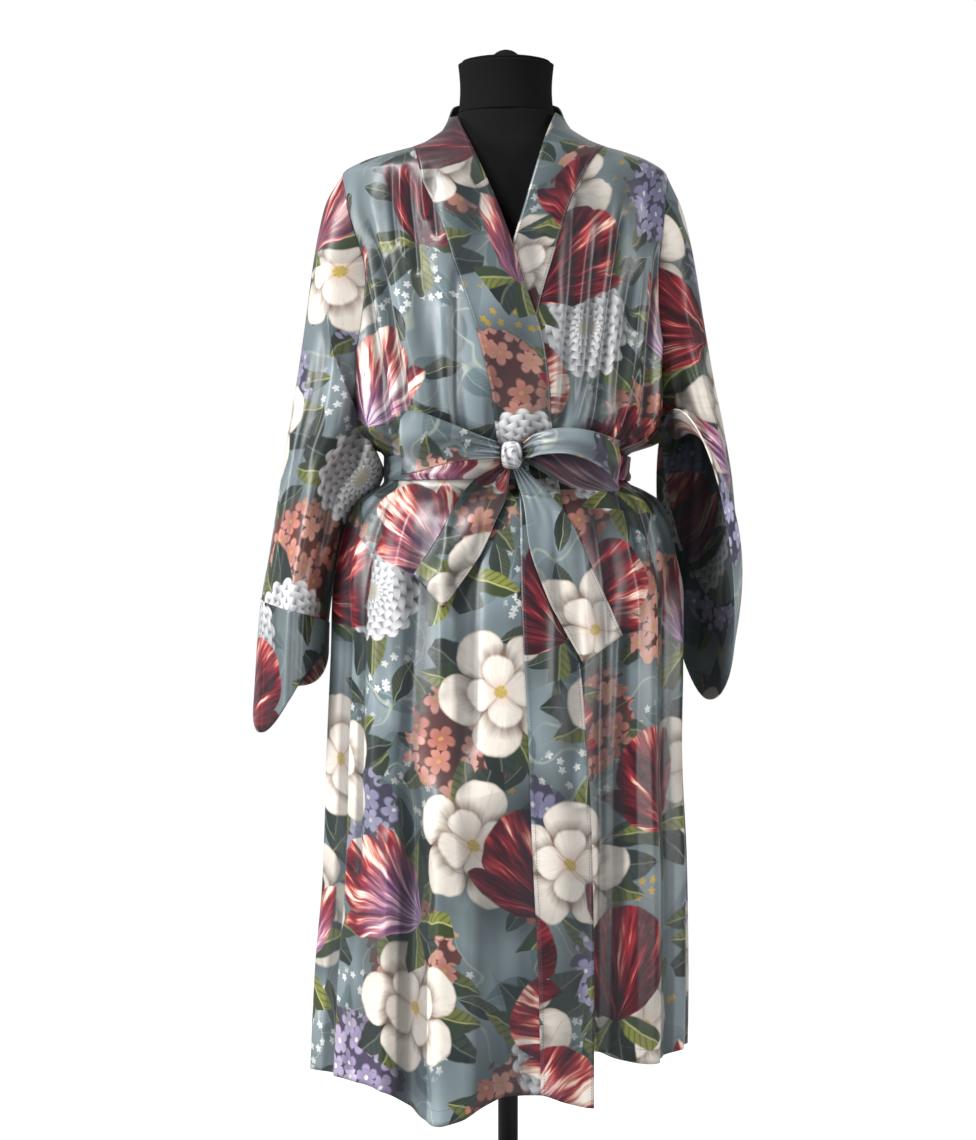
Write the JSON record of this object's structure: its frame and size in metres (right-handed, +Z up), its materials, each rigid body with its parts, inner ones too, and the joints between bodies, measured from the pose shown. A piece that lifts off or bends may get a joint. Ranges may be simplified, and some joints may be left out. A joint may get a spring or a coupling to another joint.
{
  "type": "kimono robe on a limbless dress form",
  "caption": "Knee-length printed kimono robe with wide sleeves and neck band, wrapped and tied with a bow, on a limbless dress form with pole and round foot",
  "frame": {"origin": "centre of the round foot's underside, on the pole's axis", "axes": "+Z up, the robe's front faces -Y, the viewer's right is +X"},
  "size_m": [0.5543, 0.38, 1.5002],
  "materials": {
    "printed_cotton": "satin-faced cotton, printed with flowers on slate blue",
    "belt_cotton": "the same satin-faced printed cotton, cut as a belt",
    "form_jersey": "matte black stretch jersey",
    "stand_metal": "black satin powder coat"
  },
  "bodies": {
    "root": {"back_panel": "printed_cotton", "front_over": "printed_cotton", "front_under": "printed_cotton", "neck_band_over": "printed_cotton", "neck_band_under": "printed_cotton", "sleeve_left": "printed_cotton", "sleeve_right": "printed_cotton", "cuff_left": "printed_cotton", "cuff_right": "printed_cotton", "belt": "belt_cotton", "bow_knot": "belt_cotton", "bow_loop_left": "belt_cotton", "bow_loop_right": "belt_cotton", "bow_tail_left": "belt_cotton", "bow_tail_right": "belt_cotton", "form_body": "form_jersey", "form_neck": "form_jersey", "form_cap": "form_jersey", "stand_pole": "stand_metal", "stand_base": "stand_metal"}
  },
  "joints": []
}
